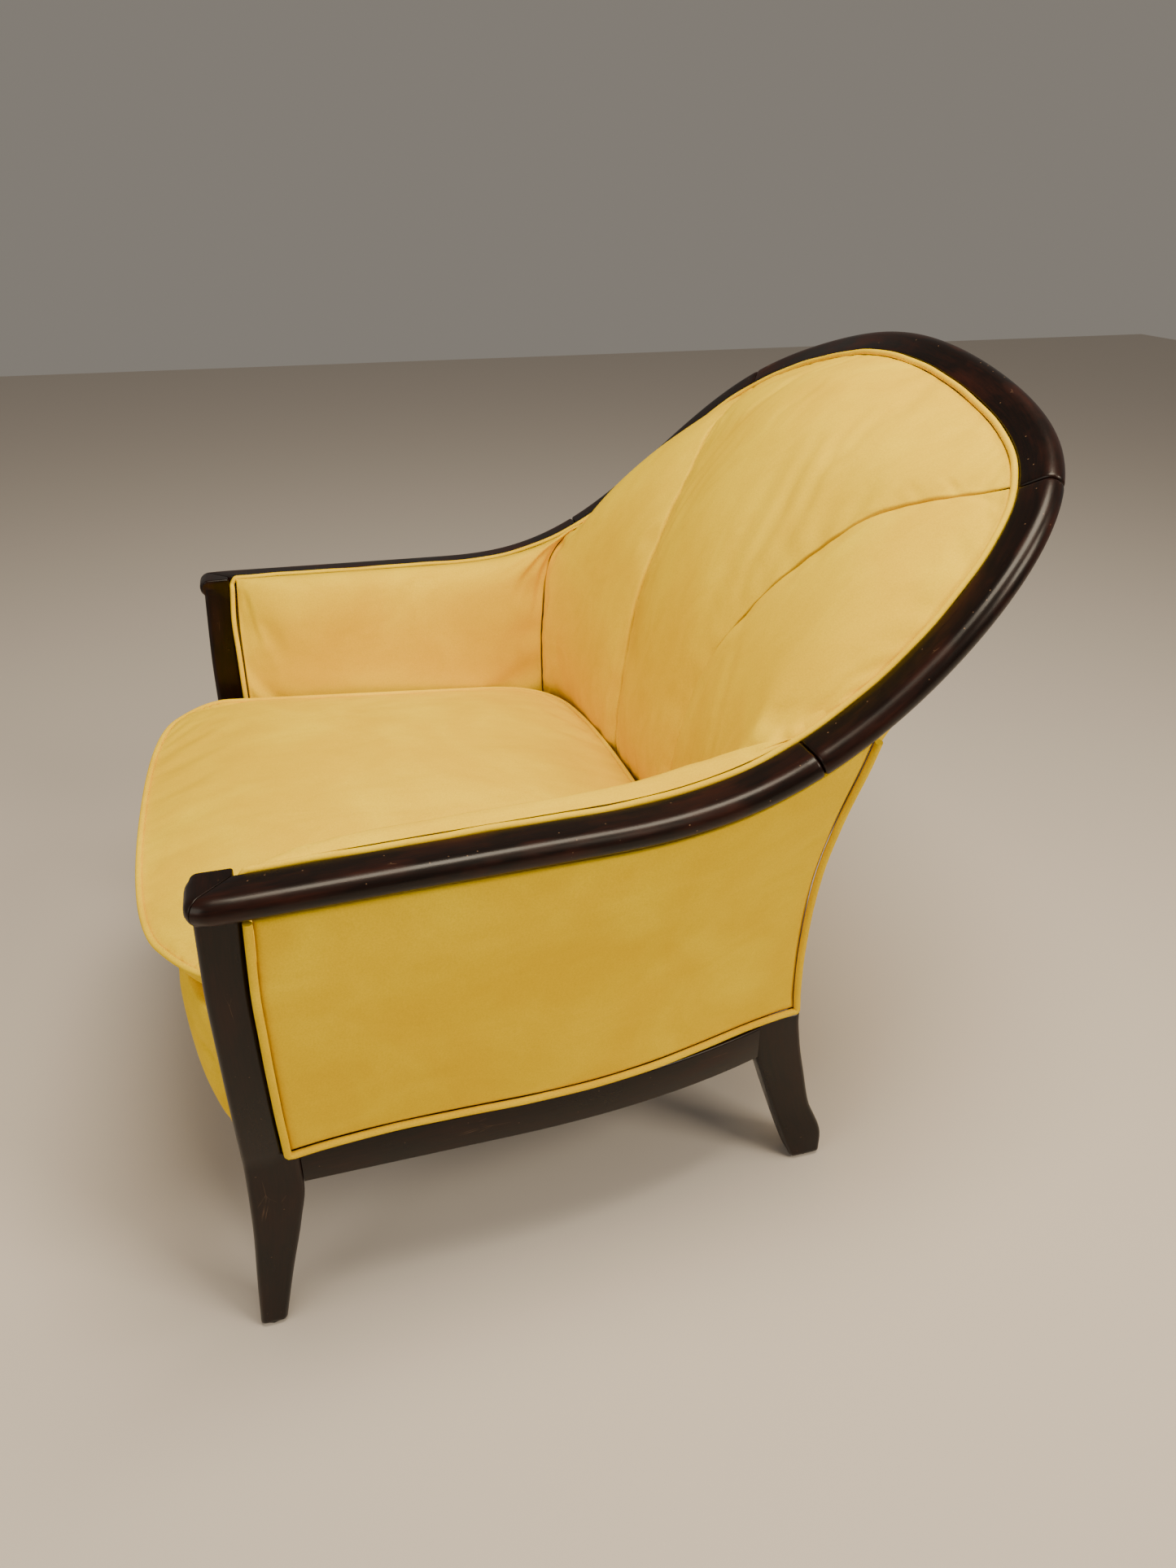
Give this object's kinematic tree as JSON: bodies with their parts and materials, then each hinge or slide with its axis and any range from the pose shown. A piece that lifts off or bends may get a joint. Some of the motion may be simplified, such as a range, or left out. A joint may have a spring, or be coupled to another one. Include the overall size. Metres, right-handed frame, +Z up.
{
  "type": "upholstered armchair",
  "caption": "Tub armchair with a dark show-wood frame, raked horseshoe rail, channelled padded back, closed arms and a loose crowned seat cushion.",
  "frame": {"origin": "on the floor, under the middle of the chair's outer box", "axes": "+Z up, the chair faces -Y, +X is the sitter's left"},
  "size_m": [0.782, 0.8516, 0.8291],
  "materials": {
    "show_wood": "dark walnut stain under satin-gloss lacquer",
    "frame_wood": "raw beech",
    "screw_steel": "plain zinc",
    "glide_nylon": "moulded nylon",
    "webbing": "woven elastic webbing",
    "lining": "non-woven lining cloth",
    "velvet": "short-pile microfibre velvet"
  },
  "bodies": {
    "chair_frame": {"front_post_left": "show_wood", "front_post_right": "show_wood", "rear_leg_left": "show_wood", "rear_leg_right": "show_wood", "arm_rail_left": "show_wood", "arm_rail_right": "show_wood", "back_rail_left": "show_wood", "back_rail_right": "show_wood", "crest_rail": "show_wood", "side_seat_rail_left": "show_wood", "side_seat_rail_right": "show_wood", "front_seat_rail": "frame_wood", "rear_seat_rail": "frame_wood", "front_corner_block_left": "frame_wood", "front_corner_block_right": "frame_wood", "rear_corner_block_left": "frame_wood", "rear_corner_block_right": "frame_wood", "mitre_dowel_left": "frame_wood", "mitre_dowel_right": "frame_wood", "arm_joint_dowel_left": "frame_wood", "arm_joint_dowel_right": "frame_wood", "crest_joint_dowel_left": "frame_wood", "crest_joint_dowel_right": "frame_wood", "arm_tacking_rail_left": "frame_wood", "arm_tacking_rail_right": "frame_wood", "back_tacking_rail": "frame_wood", "front_block_screw_left": "screw_steel", "front_block_screw_right": "screw_steel", "rear_block_screw_left": "screw_steel", "rear_block_screw_right": "screw_steel", "front_glide_left": "glide_nylon", "front_glide_right": "glide_nylon", "rear_glide_left": "glide_nylon", "rear_glide_right": "glide_nylon", "seat_web_1": "webbing", "seat_web_2": "webbing", "seat_web_3": "webbing", "seat_web_4": "webbing", "back_web_1": "webbing", "back_web_2": "webbing", "back_web_3": "webbing", "seat_deck": "lining", "dust_cover": "lining", "inside_arm_pad_left": "velvet", "inside_arm_pad_right": "velvet", "back_side_channel_left": "velvet", "back_side_channel_right": "velvet", "back_centre_channel": "velvet", "outside_arm_panel_left": "velvet", "outside_arm_panel_right": "velvet", "outside_back_panel": "velvet", "front_apron": "velvet", "rim_welt": "velvet", "outside_arm_welt_left": "velvet", "outside_arm_welt_right": "velvet"},
    "loose_cushion": {"seat_cushion": "velvet", "seat_cushion_welt": "velvet"}
  },
  "joints": [
    {"name": "cushion_lift", "type": "slide", "parent": "chair_frame", "child": "loose_cushion", "axis": [0, 0, 1], "range_m": [0, 0.3]}
  ]
}
